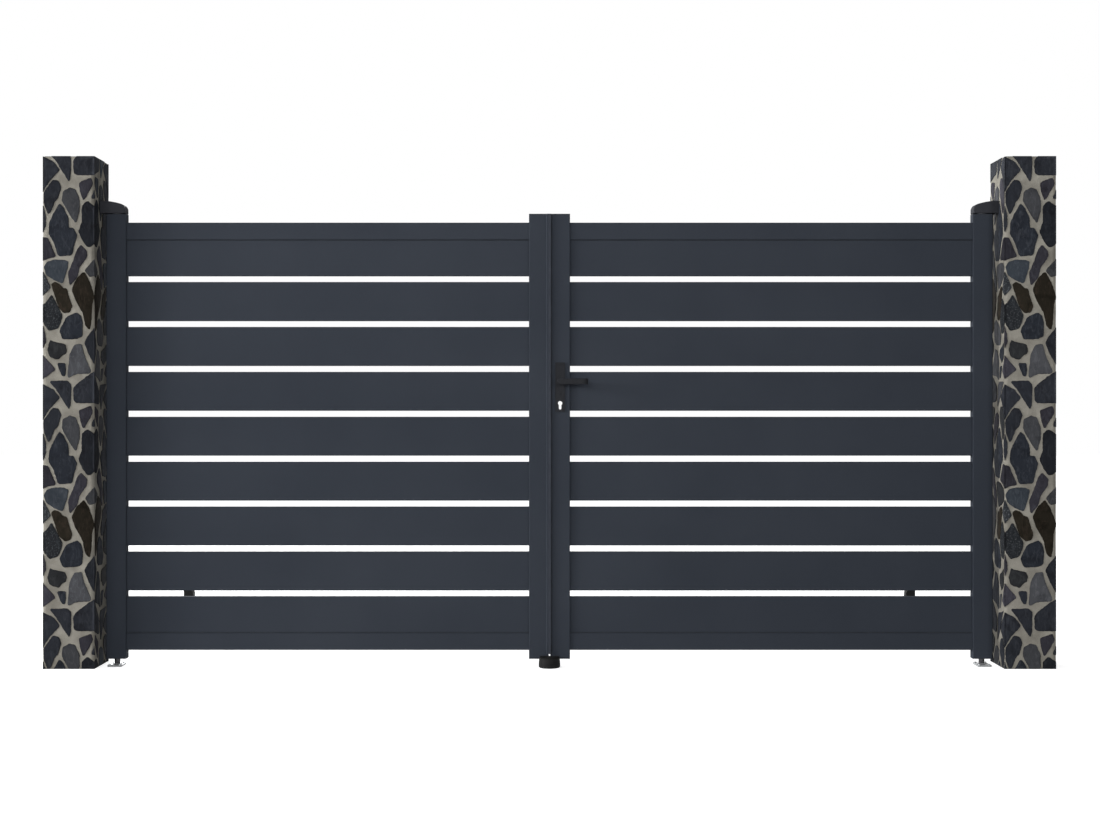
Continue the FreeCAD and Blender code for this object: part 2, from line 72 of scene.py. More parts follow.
# Where the bolts and screws sit, in millimetres, as in the part's source
GROUND_PLATE_TOP = 6.0
GROUND_BOLT_ASIDE = 19.0
GROUND_BOLT_Y = (-39.0, 19.0)
SIDE_STOP_X = 113.0
SIDE_STOP_BOLT_Y = (1405.0, 1495.0)
SIDE_STOP_BASE_TOP = 6.0
CENTRE_STOP_BOLT_ASIDE = 20.0
CENTRE_STOP_BOLT_Y = -56.0
CENTRE_STOP_BOLT_Z = 28.0
HINGE_PLATE_X = 106.0
HINGE_BOLT_Y = 12.0
HINGE_BOLT_Z = 1783.5
LOCK_PLATE_X = 1891.5
LOCK_PLATE_Y = 25.0
LOCK_SCREW_Z = (1172.0, 1058.0)


# Colours and materials

# Nearly all of a noise's values lie in this range
NOISE_RANGE = (0.3, 0.7)


def linear(red, green, blue):
    """A screen colour, 0 to 255, as the linear colour that a shader takes."""
    def one(value):
        share = value / 255
        return share / 12.92 if share <= 0.04045 else ((share + 0.055) / 1.055) ** 2.4
    return (one(red), one(green), one(blue), 1.0)


class Tree:
    """The node tree of a material or world, with a short call for each kind of node."""

    def __init__(self, owner):
        owner.use_nodes = True
        self.nodes, self.links = owner.node_tree.nodes, owner.node_tree.links

    def fill(self, sockets, values):
        """Sets each socket to a plain value, or links another node's output to it."""
        for key, value in values.items():
            if isinstance(value, bpy.types.NodeSocket):
                self.links.new(value, sockets[key])
            else:
                sockets[key].default_value = value

    def place(self):
        """The point on the surface, in the object's own coordinates in metres."""
        return self.nodes.new("ShaderNodeTexCoord").outputs["Object"]

    def attribute(self, name):
        """A value that the mesh keeps for each vertex."""
        node = self.nodes.new("ShaderNodeAttribute")
        node.attribute_name = name
        return node.outputs["Fac"]

    def mapped(self, vector, scale, turn=(0.0, 0.0, 0.0)):
        node = self.nodes.new("ShaderNodeMapping")
        self.fill(node.inputs, {"Vector": vector, "Scale": scale, "Rotation": turn})
        return node.outputs["Vector"]

    def noise(self, vector, scale, detail, roughness=0.55, distortion=0.0):
        node = self.nodes.new("ShaderNodeTexNoise")
        self.fill(node.inputs, {"Vector": vector, "Scale": scale, "Detail": detail,
                                "Roughness": roughness, "Distortion": distortion})
        return node.outputs["Fac"]

    def spread(self, value, source, target=(0.0, 1.0)):
        """The value stretched from the range source to the range target, and held at its ends."""
        node = self.nodes.new("ShaderNodeMapRange")
        self.fill(node.inputs, {"Value": value, "From Min": source[0], "From Max": source[1],
                                "To Min": target[0], "To Max": target[1]})
        return node.outputs["Result"]

    def math(self, operation, first, second=0.0):
        node = self.nodes.new("ShaderNodeMath")
        node.operation = operation
        self.fill(node.inputs, {0: first, 1: second})
        return node.outputs[0]

    def blend(self, share, first, second):
        """Two colours mixed; the share is the second one's."""
        node = self.nodes.new("ShaderNodeMix")
        node.data_type = "RGBA"
        self.fill(node.inputs, {0: share, 6: first, 7: second})
        return node.outputs[2]

    def dimmed(self, colour, share):
        """A colour times a share."""
        node = self.nodes.new("ShaderNodeVectorMath")
        node.operation = "SCALE"
        self.fill(node.inputs, {0: colour, "Scale": share})
        return node.outputs["Vector"]

    def bump(self, height, strength, distance, under=None):
        """A relief, if need be on top of another one."""
        node = self.nodes.new("ShaderNodeBump")
        self.fill(node.inputs, {"Height": height, "Strength": strength, "Distance": distance})
        if under is not None:
            self.links.new(under, node.inputs["Normal"])
        return node.outputs["Normal"]


def new_material(name):
    """A material, its node tree, and the sockets of its main shader."""
    material = bpy.data.materials.new(name)
    tree = Tree(material)
    return material, tree, tree.nodes["Principled BSDF"].inputs


def finish(name, dark, light, patch, grain, rough, bump, depth, metallic=0.0, specular=0.5,
           stretch=None):
    """A coat or bare surface: two tones in soft patches, with a fine grain in gloss and relief."""
    material, tree, shader = new_material(name + "_finish")
    where = tree.place()
    fine_place = where if stretch is None else tree.mapped(where, stretch)
    patches = tree.noise(where, patch, detail=3.0)
    grains = tree.noise(fine_place, grain, detail=2.0, roughness=0.6)
    colour = tree.blend(tree.spread(patches, NOISE_RANGE), dark, light)
    speck = tree.spread(grains, (0.35, 0.65), (0.88, 1.12))
    tree.fill(shader, {
        "Base Color": tree.dimmed(colour, speck),
        "Roughness": tree.spread(grains, NOISE_RANGE, rough),
        "Normal": tree.bump(grains, bump, depth),
        "Metallic": metallic,
        "Specular IOR Level": specular,
    })
    return material


def plate_finish_with_painted_side_shade(name, dark, light, edge):
    """Zinc-coated plate: bright on its level top, duller and less metallic on its cut edges, which
    also carry painted shade, coloured as sides in shadow.
    """
    material = finish(name, dark, light, patch=60.0, grain=220.0, rough=(0.3, 0.48), bump=0.12,
                      depth=0.0003)
    tree = Tree(material)
    shader = tree.nodes["Principled BSDF"].inputs
    top_colour = shader["Base Color"].links[0].from_socket
    normal = tree.nodes.new("ShaderNodeNewGeometry").outputs["Normal"]
    parts = tree.nodes.new("ShaderNodeSeparateXYZ")
    tree.fill(parts.inputs, {"Vector": normal})
    # Painted shade: faces that turn away from up take the darker, less metallic edge colour, as
    # sides in shadow would look
    top_share_over_painted_shade = tree.spread(parts.outputs["Z"], (0.5, 0.9))
    tree.fill(shader, {
        "Base Color": tree.blend(top_share_over_painted_shade, edge, top_colour),
        "Metallic": tree.spread(top_share_over_painted_shade, (0.0, 1.0), (0.1, 1.0)),
    })
    return material


def stone_finish(name, dark, middle, light, speckle=None):
    """Split slate: layered tones and streaks, with painted shade at the broken rim, and a cleft
    relief.
    """
    material, tree, shader = new_material(name)
    where = tree.place()
    layers = tree.mapped(where, scale=(1.0, 1.0, 0.35), turn=(0.4, 0.3, 0.9))
    clouds = tree.noise(where, 22.0, detail=5.0, roughness=0.6, distortion=0.4)
    streaks = tree.noise(layers, 75.0, detail=6.0, roughness=0.65, distortion=1.2)
    grain = tree.noise(where, 600.0, detail=3.0, roughness=0.6)
    colour = tree.blend(tree.spread(clouds, (0.3, 0.52)), dark, middle)
    colour = tree.blend(tree.spread(streaks, (0.5, 0.75)), colour, light)
    if speckle is not None:
        dots = tree.noise(where, 150.0, detail=2.0, roughness=0.7)
        colour = tree.blend(tree.spread(dots, (0.56, 0.68), (0.0, 0.8)), colour, speckle)
    # Thin veins run where the folds' noise passes its middle value
    folds = tree.noise(where, 17.0, detail=2.0, roughness=0.5, distortion=0.8)
    off_middle = tree.math("ABSOLUTE", tree.math("SUBTRACT", folds, 0.5))
    colour = tree.blend(tree.spread(off_middle, (0.0, 0.006), (0.45, 0.0)), colour, light)
    # Painted shade: the stone darkens toward its rim, where it drops to the mortar, by the rim
    # attribute
    painted_rim_shade = tree.spread(tree.attribute("rim"), (0.0, 1.0), (1.0, 0.55))
    tone = tree.math("MULTIPLY", tree.attribute("tone"), painted_rim_shade)
    cleft = tree.bump(streaks, strength=0.5, distance=0.0012)
    tree.fill(shader, {
        "Base Color": tree.dimmed(colour, tone),
        "Roughness": tree.spread(streaks, (0.35, 0.7), (0.75, 0.5)),
        "Normal": tree.bump(grain, strength=0.35, distance=0.0003, under=cleft),
        "Specular IOR Level": 0.012,
    })
    return material


def mortar_finish(dark, light):
    """Sandy mortar with pale and damp patches."""
    material, tree, shader = new_material("mortar")
    where = tree.place()
    clouds = tree.noise(where, 14.0, detail=5.0, roughness=0.6)
    sand = tree.noise(where, 900.0, detail=2.0, roughness=0.7)
    lumps = tree.noise(where, 120.0, detail=4.0, roughness=0.6)
    colour = tree.blend(tree.spread(clouds, (0.32, 0.68)), dark, light)
    speck = tree.spread(sand, NOISE_RANGE, (0.82, 1.18))
    tone = tree.math("MULTIPLY", tree.attribute("tone"), speck)
    coarse = tree.bump(lumps, strength=0.6, distance=0.0015)
    tree.fill(shader, {
        "Base Color": tree.dimmed(colour, tone),
        "Roughness": tree.spread(sand, NOISE_RANGE, (0.85, 1.0)),
        "Normal": tree.bump(sand, strength=0.5, distance=0.0005, under=coarse),
        "Specular IOR Level": 0.008,
    })
    return material


materials = {
    "anthracite_coat": finish(
        "anthracite_coat", linear(46, 50, 57), linear(51, 55, 62), patch=1.6, grain=1500.0,
        rough=(0.5, 0.6), bump=0.12, depth=0.0002, specular=0.008),
    "hinge_coat": finish(
        "hinge_coat", linear(48, 49, 53), linear(54, 55, 59), patch=9.0, grain=700.0,
        rough=(0.5, 0.62), bump=0.3, depth=0.0004, specular=0.008),
    "cap_plastic": finish(
        "cap_plastic", linear(41, 44, 49), linear(46, 49, 54), patch=12.0, grain=1200.0,
        rough=(0.45, 0.6), bump=0.2, depth=0.0002, specular=0.02),
    "lever_coat": finish(
        "lever_coat", linear(32, 33, 36), linear(38, 39, 42), patch=14.0, grain=1400.0,
        rough=(0.4, 0.5), bump=0.1, depth=0.0001, specular=0.04),
    "pivot_steel": finish(
        "pivot_steel", linear(50, 50, 52), linear(76, 76, 78), patch=30.0, grain=400.0,
        rough=(0.16, 0.3), bump=0.15, depth=0.0002, metallic=1.0, stretch=(1.0, 1.0, 6.0)),
    # The plate's third colour is its cut edges' duller tone, with painted shade for the sides in it
    "galvanised_steel": plate_finish_with_painted_side_shade(
        "galvanised_steel", linear(160, 162, 164), linear(206, 208, 210), linear(138, 140, 142)),
    "lock_steel": finish(
        "lock_steel", linear(150, 150, 152), linear(182, 182, 184), patch=12.0, grain=500.0,
        rough=(0.25, 0.4), bump=0.15, depth=0.0002, metallic=1.0, stretch=(1.0, 1.0, 0.04)),
    "stop_coat": finish(
        "stop_coat", linear(24, 24, 24), linear(31, 31, 31), patch=20.0, grain=500.0,
        rough=(0.45, 0.6), bump=0.3, depth=0.0004, specular=0.04),
    "buffer_rubber": finish(
        "buffer_rubber", linear(20, 20, 21), linear(29, 29, 30), patch=40.0, grain=900.0,
        rough=(0.65, 0.85), bump=0.3, depth=0.0003, specular=0.05),
    "seal_rubber": finish(
        "seal_rubber", linear(50, 53, 60), linear(56, 59, 66), patch=30.0, grain=1100.0,
        rough=(0.6, 0.8), bump=0.25, depth=0.0002, specular=0.02),
}
zinc_screw = finish(
    "zinc_screw", linear(142, 144, 146), linear(176, 178, 180), patch=90.0, grain=700.0,
    rough=(0.28, 0.42), bump=0.1, depth=0.0002, metallic=1.0)
# Dark rubber for the rail beads and the lip pad, which also stand in as painted shadow in the
# joints
shadow_gasket_rubber = finish(
    "shadow_gasket", linear(40, 43, 48), linear(46, 49, 54), patch=30.0, grain=1100.0,
    rough=(0.6, 0.8), bump=0.25, depth=0.0002, specular=0.02)
washer_nylon = finish(
    "washer_nylon", linear(84, 86, 90), linear(94, 96, 100), patch=40.0, grain=900.0,
    rough=(0.5, 0.65), bump=0.1, depth=0.0001, specular=0.1)
mortar = mortar_finish(linear(105, 102, 95), linear(133, 130, 122))
STONE_FINISHES = {
    "slate": stone_finish(
        "slate_dark", linear(26, 27, 31), linear(35, 37, 42), linear(50, 52, 57)),
    "blue": stone_finish(
        "slate_blue", linear(27, 29, 34), linear(35, 38, 44), linear(56, 59, 65)),
    "violet": stone_finish(
        "slate_violet", linear(33, 32, 37), linear(45, 44, 50), linear(60, 60, 66)),
    "pale": stone_finish(
        "slate_pale", linear(40, 44, 50), linear(50, 55, 61), linear(67, 71, 77)),
    "ash": stone_finish(
        "slate_ash", linear(46, 47, 50), linear(58, 59, 62), linear(75, 76, 80)),
    "brown": stone_finish(
        "slate_brown", linear(20, 18, 14), linear(31, 28, 23), linear(47, 40, 34)),
    "green": stone_finish(
        "slate_green", linear(29, 30, 32), linear(39, 40, 42), linear(54, 56, 57)),
    "speckled": stone_finish(
        "slate_speckled", linear(27, 29, 32), linear(37, 39, 42), linear(54, 57, 61),
        linear(88, 91, 94)),
}
FINISH_ORDER = list(STONE_FINISHES)


# Each CAD node gets the finish of the slot that its plain material names
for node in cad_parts.values():
    slot_name = node.data.materials[0].name
    if slot_name in materials:
        node.data.materials.clear()
        node.data.materials.append(materials[slot_name])


def new_mesh(name, bm, material):
    """A mesh with one material, made of a bmesh that is freed after it."""
    mesh = bpy.data.meshes.new(name)
    bm.to_mesh(mesh)
    bm.free()
    mesh.materials.append(material)
    return mesh


def new_object(name, data):
    """An object in the scene that holds a mesh, camera or lamp."""
    made = bpy.data.objects.new(name, data)
    bpy.context.scene.collection.objects.link(made)
    return made


# Stonework

# How far the stones stand out of the mortar, and how much larger they are than their outlines
STONE_PROUD = 1.6
STONE_GROWTH = 1.8
# The rounding of the pillar's edges, and how near a point lies that counts as on one
CORNER_ROUND = 3.0
CORNER_TOLERANCE = 0.01
# The steps along an outline, and the share of each side that its cut corners take
OUTLINE_STEP = 4.6
MIN_STEPS = 8
CUT_SHARE = 0.09

# The least points of a stone's outline
MIN_POINTS = 4

# Waves that break a stone's edge and dent its face: how dense per mm, the seed's shift, and how
# high in mm
EDGE_WAVES = ((0.11, 0.0, 1.6), (0.33, 7.0, 0.8))
FACE_WAVES = ((0.03, 0.0, 0.42), (0.09, 3.0, 0.21))
# Near a corner of the pillar, the edge's waves grow over this many points
CALM_POINTS = 3

# A stone's face: its usual depth and its greatest one below the pillar's side, and its lean
FACE_DEPTH = 0.25
MAX_FACE_DEPTH = 1.2
STONE_TILT = 0.008
TILT_SEEDS = ((1.3, 0.2), (5.1, 0.7))
# A stone's rings, from the buried foot inward: the inset, the depth, where None is the face's
# own, and the share of painted rim shade. The inset is in mm at the rim, and a share of the stone's
# size on the face
FOOT_DEPTH = STONE_PROUD + 0.5
RIM_RINGS = [(0.0, FOOT_DEPTH, 1.0), (0.0, 0.8, 1.0), (0.6, 0.3, 0.9), (1.8, None, 0.2)]
FACE_RINGS = [(0.2, None, 0.0), (0.5, None, 0.0)]
# Rings with an inset below the first limit keep to the pillar's corner where the stone lies on
# it, and face rings with one below the second lie a little lower
CORNER_INSET = 2.0
LOWER_INSET = 3.0
LOWER_BY = 0.1
# The rim takes this share of the face's depth, and no ring goes further toward the middle
RIM_FOLLOWS = 0.6
MAX_INSET_SHARE = 0.85

# A pattern that is moved aside is held at the corners, over this width
HELD_EDGE = 30.0
# On the faces that the photo hardly shows, the pattern is carried aside and down by slow waves,
# each as high and as long as given here in mm, with a turn from face to face
SWAY_ASIDE = (20.0, 140.0)
SWAY_DOWN = (24.0, 190.0)
SWAY_TURN = 2.1

# The pattern comes again this far down the pillar
PATTERN_REPEAT = 877.0
REPEATS = range(-2, 3)
# A stone of which less than this shows is left out, and all end a little below the top
SLIVER = 8.0
TOP_CLEAR = 0.6
# How much a stone's tone varies, and how often one that isn't on a corner changes its finish
TONE_RANGE = (0.95, 1.05)
CHANGE_SHARE = 0.5
# Each copy of a stone draws its numbers from a seed that these steps keep apart
SEED_PER_STONE = 1000
SEED_PER_REPEAT = 50
REPEAT_ZERO = 5
FIRST_FACE_KEY = 10
MAX_WAVE_SEED = 90

# The stones in the pillar's top: where their part of the pattern starts, the mortar left round
# them, the least that has to show of a stone, how deep they lie, and their first seed and its step
TOP_START = 610.0
TOP_MARGIN = 7.0
TOP_SLIVER = 12.0
TOP_MIN_POINTS = 8
TOP_SUNK = 0.5
TOP_FLATTENED = 0.6
TOP_SEEDS = (1.0, 3.7)

# The mortar core: how far its top lies lower, the cuts along x, y and z, the waves in its
# surface, how dense per metre and how high in mm, and how deep the surface is sunk
CORE_TOP_LOWER = 2.2
CORE_CUTS = (13, 13, 131)
CORE_WAVES = ((45.0, 0.5), (110.0, 0.35))
CORE_SUNK = 0.4
# An edge that reaches further than this along an axis, in metres, is one that runs along it
LONG_EDGE = 0.01

# Each pillar's place, how far the pattern lies lower and to the right on it, and how bright
# its mortar and its stones are
PILLARS = {
    "left": (LEFT_PILLAR_X, 0.5, 0.0, 1.0, 0.98),
    "right": (RIGHT_PILLAR_X, 0.7, -2.7, 1.14, 1.22),
}

# The pattern as read from the pillar's front: each stone's finish, tone and outline, with
# points across from the face's left edge and down from the top, in mm.
# An outline that starts and ends on one edge of the face goes on round that corner.
STONES = [
    ("blue", 0.95, [(65, 184), (42, 224), (26, 261), (25, 300), (44, 330), (61, 384), (112, 381),
                    (121, 341), (132, 305), (117, 278), (100, 277), (98, 238), (79, 198)]),
    ("violet", 0.73, [(0, 314), (19, 316), (36, 354), (50, 386), (19, 394), (0, 401)]),
    ("pale", 0.89, [(6, 428), (18, 408), (45, 400), (81, 400), (98, 407), (95, 432), (81, 476),
                    (76, 489), (45, 476), (14, 455)]),
    ("violet", 0.93, [(147, 343), (170, 367), (169, 390), (141, 428), (132, 466), (105, 498),
                      (99, 450), (120, 402), (134, 360)]),
    ("slate", 0.65, [(200, 333), (186, 348), (172, 349), (152, 320), (139, 290), (152, 258),
                     (152, 193), (172, 174), (200, 195)]),
    ("ash", 0.68, [(200, 398), (172, 429), (164, 440), (180, 464), (200, 459)]),
    ("brown", 0.88, [(159, 447), (176, 476), (191, 514), (198, 543), (189, 572), (186, 641),
                     (180, 667), (165, 651), (155, 602), (126, 550), (113, 511), (134, 470)]),
    ("brown", 1.13, [(34, 495), (47, 486), (62, 493), (80, 510), (92, 511), (100, 543), (113, 580),
                     (104, 600), (84, 604), (63, 582)]),
    ("speckled", 1.28, [(0, 447), (10, 463), (30, 505), (18, 519), (0, 535)]),
    ("speckled", 0.77, [(0, 575), (16, 562), (34, 535), (60, 582), (76, 618), (60, 662), (26, 672),
                        (8, 648), (0, 632)]),
    ("blue", 0.94, [(131, 603), (92, 620), (66, 672), (79, 704), (131, 702), (151, 693), (154, 644),
                    (147, 616)]),
    ("green", 0.88, [(29, 710), (39, 715), (86, 726), (92, 745), (87, 760), (78, 763), (60, 783),
                     (28, 771), (20, 744)]),
    ("violet", 0.85, [(0, 655), (10, 689), (12, 715), (0, 737)]),
    ("ash", 1.16, [(123, 728), (149, 724), (157, 760), (185, 827), (180, 835), (130, 837),
                   (97, 854), (105, 763)]),
    ("blue", 0.95, [(58, 798), (86, 798), (89, 820), (85, 846), (76, 845), (62, 814)]),
    ("violet", 1.25, [(0, 768), (13, 782), (49, 821), (16, 846), (0, 856)]),
    ("slate", 0.76, [(200, 662), (175, 693), (162, 718), (178, 760), (200, 800)]),
    ("slate", 1.03, [(28, 867), (94, 865), (109, 880), (107, 954), (102, 974), (84, 946),
                     (50, 892)]),
    ("slate", 1.0, [(200, 830), (178, 843), (130, 880), (119, 895), (121, 940), (130, 949),
                    (200, 949)]),
    ("slate", 1.08, [(0, 880), (42, 900), (65, 930), (28, 970), (10, 996), (0, 1013)]),
    ("slate", 1.0, [(39, 970), (60, 973), (71, 996), (58, 1039), (45, 1053), (31, 1089), (22, 1100),
                    (6, 1060), (5, 1018)]),
    ("ash", 0.87, [(104, 1000), (125, 1006), (141, 1044), (141, 1086), (128, 1134), (109, 1108),
                   (76, 1050), (78, 1015)]),
    ("violet", 0.86, [(141, 981), (152, 975), (186, 962), (193, 985), (157, 1049), (146, 1015)]),
    ("slate", 0.9, [(200, 1009), (188, 1039), (200, 1041)]),
    ("slate", 1.12, [(0, 1070), (11, 1102), (11, 1146), (0, 1169)]),
]


def on_corner(point):
    """Whether an outline's point lies on one of the pillar's upright edges."""
    return point[0] < CORNER_TOLERANCE or point[0] > PILLAR_SIDE - CORNER_TOLERANCE


def corner_cut(points, closed):
    """One round of corner cutting; an open line keeps its ends."""
    made = []
    count = len(points)
    for i in range(count if closed else count - 1):
        ax, ay = points[i]
        bx, by = points[(i + 1) % count]
        keeps_start = not closed and i == 0
        keeps_end = not closed and i == count - 2
        for share in (0.0 if keeps_start else CUT_SHARE, 1.0 if keeps_end else 1 - CUT_SHARE):
            made.append((ax + (bx - ax) * share, ay + (by - ay) * share))
    return made


def even_steps(points, closed):
    """The line's points at nearly even steps, its ends kept if it is open."""
    line = points + [points[0]] if closed else points
    lengths = [math.dist(a, b) for a, b in zip(line, line[1:])]
    total = sum(lengths)
    steps = max(MIN_STEPS, round(total / OUTLINE_STEP))
    made, at, walked = [], 0, 0.0
    for k in range(steps + (0 if closed else 1)):
        goal = total * k / steps
        while at < len(lengths) - 1 and walked + lengths[at] < goal:
            walked += lengths[at]
            at += 1
        share = min(1.0, (goal - walked) / max(lengths[at], TINY))
        (ax, ay), (bx, by) = line[at], line[at + 1]
        made.append((ax + (bx - ax) * share, ay + (by - ay) * share))
    if not closed:
        made[0], made[-1] = points[0], points[-1]
    return made


def rippled(u, v, seed, waves):
    """The height of some waves at a point."""
    return sum(noise.noise(Vector((u * dense, v * dense, seed + shift))) * high
               for dense, shift, high in waves)


def broken_edge(points, closed, seed):
    """Grows the outline a little and moves its points in and out, as on a split stone."""
    made = []
    count = len(points)
    area = sum(points[i - 1][0] * points[i][1] - points[i][0] * points[i - 1][1]
               for i in range(count))
    outward = STONE_GROWTH if area < 0 else -STONE_GROWTH
    for i, (u, v) in enumerate(points):
        if not closed and i in (0, count - 1):
            along_edge = points[0][1] - points[-1][1]
            if i:
                along_edge = -along_edge
            made.append((u, v + math.copysign(STONE_GROWTH, along_edge)))
            continue
        before, after = points[i - 1], points[(i + 1) % count]
        along = Vector((after[0] - before[0], after[1] - before[1]))
        if along.length < TINY:
            made.append((u, v))
            continue
        along.normalize()
        wave = rippled(u, v, seed, EDGE_WAVES)
        if not closed:
            wave *= min(1.0, min(i, count - 1 - i) / CALM_POINTS)
        wave += outward
        u_held = min(max(u - along.y * wave, 0.0), PILLAR_SIDE)
        made.append((u_held, v + along.x * wave))
    return made


def clip_line(points, axis, limit, keep_below):
    """The closed outline cut off where coordinate axis passes the limit."""
    def inside(point):
        return point[axis] <= limit if keep_below else point[axis] >= limit

    made = []
    for i, point in enumerate(points):
        before = points[i - 1]
        if inside(point) != inside(before):
            share = (limit - before[axis]) / (point[axis] - before[axis])
            cut = [a + (b - a) * share for a, b in zip(before, point)]
            cut[axis] = limit
            made.append(tuple(cut))
        if inside(point):
            made.append(point)
    return made


def stone_outline(points, seed):
    """A stone's finished outline; it is an open line where the stone goes on round a corner."""
    closed = not (on_corner(points[0]) and on_corner(points[-1]))
    return broken_edge(even_steps(corner_cut(points, closed), closed), closed, seed)


class Stonework:
    """Collects the stones of one pillar as one mesh, with each vertex's tone and share of painted
    rim shade.
    """

    def __init__(self):
        self.points, self.faces, self.kinds, self.tones, self.painted_rim_shades = [], [], [], [], []

    def add_point(self, point, tone, rim):
        self.points.append(point)
        self.tones.append(tone)
        self.painted_rim_shades.append(rim)

    def add(self, outline_points, place, outward, kind, tone, seed, wraps):
        """One stone. place(u, v, depth) gives a point in metres; wraps tells which outline
        points lie on a corner of the pillar."""
        count = len(outline_points)
        if count < MIN_POINTS:
            return
        across, down = zip(*outline_points)
        centre = Vector((sum(across), sum(down))) / count
        tilt = Vector([noise.noise(Vector((seed, *rest))) for rest in TILT_SEEDS]) * STONE_TILT
        size = max((Vector(p) - centre).length for p in outline_points)

        def face_depth(u, v):
            lean = (Vector((u, v)) - centre).dot(tilt)
            depth = FACE_DEPTH + lean + rippled(u, v, seed, FACE_WAVES)
            return min(max(depth, 0.0), MAX_FACE_DEPTH)

        first = len(self.points)
        rings = RIM_RINGS + [(share * size, depth, rim) for share, depth, rim in FACE_RINGS]
        for inset, depth, rim in rings:
            for (u, v), wrap in zip(outline_points, wraps):
                at_corner = wrap and inset < CORNER_INSET
                to_centre = centre - Vector((u, v))
                step = min(inset, to_centre.length * MAX_INSET_SHARE)
                moved = Vector((u, v)) + to_centre.normalized() * step
                if at_corner:
                    moved.x = u
                if depth is None:
                    deep = face_depth(*moved) + (LOWER_BY if inset < LOWER_INSET else 0.0)
                elif depth == FOOT_DEPTH:
                    deep = depth
                    if at_corner:
                        moved.x = abs(u - depth)
                else:
                    deep = 0.0 if at_corner else depth + RIM_FOLLOWS * face_depth(u, v)
                self.add_point(place(moved.x, moved.y, deep), tone, 0.0 if wrap else rim)
        middle = len(self.points)
        self.add_point(place(*centre, face_depth(*centre)), tone, 0.0)
        made = []
        for low in range(first, middle - count, count):
            for i in range(count):
                j = (i + 1) % count
                made.append((low + i, low + j, low + count + j, low + count + i))
        last = middle - count
        for i in range(count):
            made.append((last + i, last + (i + 1) % count, middle))
        a, b, c = (Vector(self.points[k]) for k in made[-1])
        if (b - a).cross(c - a).dot(outward) < 0:
            made = [tuple(reversed(face)) for face in made]
        self.faces += made
        self.kinds += [FINISH_ORDER.index(kind)] * len(made)

    def build(self, name):
        """The object with all the stones added so far."""
        mesh = bpy.data.meshes.new(name)
        mesh.from_pydata(self.points, [], self.faces)
        for kind in FINISH_ORDER:
            mesh.materials.append(STONE_FINISHES[kind])
        mesh.polygons.foreach_set("material_index", self.kinds)
        mesh.polygons.foreach_set("use_smooth", [True] * len(self.faces))
        mesh.attributes.new("tone", "FLOAT", "POINT").data.foreach_set("value", self.tones)
        # The rim attribute holds each vertex's share of painted rim shade
        mesh.attributes.new("rim", "FLOAT", "POINT").data.foreach_set("value", self.painted_rim_shades)
        mesh.update()
        return new_object(name, mesh)


def corner_rounded(x, y, z, middle_x):
    """Moves a point near one of the pillar's upright edges onto the rounded edge; gives metres."""
    inner = PILLAR_SIDE / 2 - CORNER_ROUND
    past = Vector((abs(x) - inner, abs(y) - inner))
    if past.x > 0 and past.y > 0 and past.length > CORNER_ROUND:
        past = past.normalized() * CORNER_ROUND
        x = math.copysign(inner + past.x, x)
        y = math.copysign(inner + past.y, y)
    return ((x + middle_x) * MM, y * MM, z * MM)


def pillar_faces(middle_x):
    """The four faces: where u, v and a depth lie, the way out, and the corners at u 0 and 200."""
    half = PILLAR_SIDE / 2

    def at(x, y, v):
        return corner_rounded(x, y, PILLAR_HEIGHT - v, middle_x)

    return [
        (lambda u, v, d: at(u - half, d - half, v), Vector((0, -1, 0)), (0, 1)),
        (lambda u, v, d: at(half - d, half - u, v), Vector((1, 0, 0)), (2, 1)),
        (lambda u, v, d: at(half - u, half - d, v), Vector((0, 1, 0)), (2, 3)),
        (lambda u, v, d: at(d - half, u - half, v), Vector((-1, 0, 0)), (0, 3)),
    ]


def moved_aside(points, aside):
    """The outline moved across the face, its points on the corners held."""
    return [(u + aside * min(1.0, u / HELD_EDGE, (PILLAR_SIDE - u) / HELD_EDGE), v)
            for u, v in points]


def swayed(points, phase):
    """The outline carried along by slow waves that die out toward the corners."""
    made = []
    for u, v in points:
        reach = math.sin(math.pi * u / PILLAR_SIDE)
        aside = SWAY_ASIDE[0] * reach * math.sin(v / SWAY_ASIDE[1] + phase)
        down = SWAY_DOWN[0] * reach * math.sin(v / SWAY_DOWN[1] + 2 * phase)
        made.append((u + aside, v + down))
    return made


def make_stones(middle_x, drop, aside, bright):
    """The stones on the four faces of one pillar."""
    work = Stonework()
    for face_number, (place, outward, corners) in enumerate(pillar_faces(middle_x)):
        for stone, (kind, tone, points) in enumerate(STONES):
            wrapped = on_corner(points[0]) and on_corner(points[-1])
            # The two halves of a stone on a corner draw the same numbers
            place_key = FIRST_FACE_KEY + face_number
            if wrapped:
                place_key = corners[0 if points[0][0] < PILLAR_SIDE / 2 else 1]
            for repeat in REPEATS:
                repeat_key = (repeat + REPEAT_ZERO) * SEED_PER_REPEAT
                chance = random.Random(stone * SEED_PER_STONE + repeat_key + place_key)
                seed = chance.uniform(0, MAX_WAVE_SEED)
                used_kind = kind
                if face_number and not wrapped and chance.random() < CHANGE_SHARE:
                    used_kind = chance.choice(FINISH_ORDER)
                shift = repeat * PATTERN_REPEAT + drop
                line = moved_aside(stone_outline(points, seed), aside)
                line = [(u, v + shift) for u, v in line]
                if face_number:
                    line = swayed(line, SWAY_TURN * face_number + middle_x)
                depths = [v for u, v in line]
                if max(depths) < SLIVER or min(depths) > PILLAR_HEIGHT - SLIVER:
                    continue
                line = clip_line(line, 1, TOP_CLEAR, keep_below=False)
                line = clip_line(line, 1, PILLAR_HEIGHT, keep_below=True)
                wraps = [on_corner(point) for point in line]
                used_tone = tone * bright * chance.uniform(*TONE_RANGE)
                work.add(line, place, outward, used_kind, used_tone, seed, wraps)
    return work


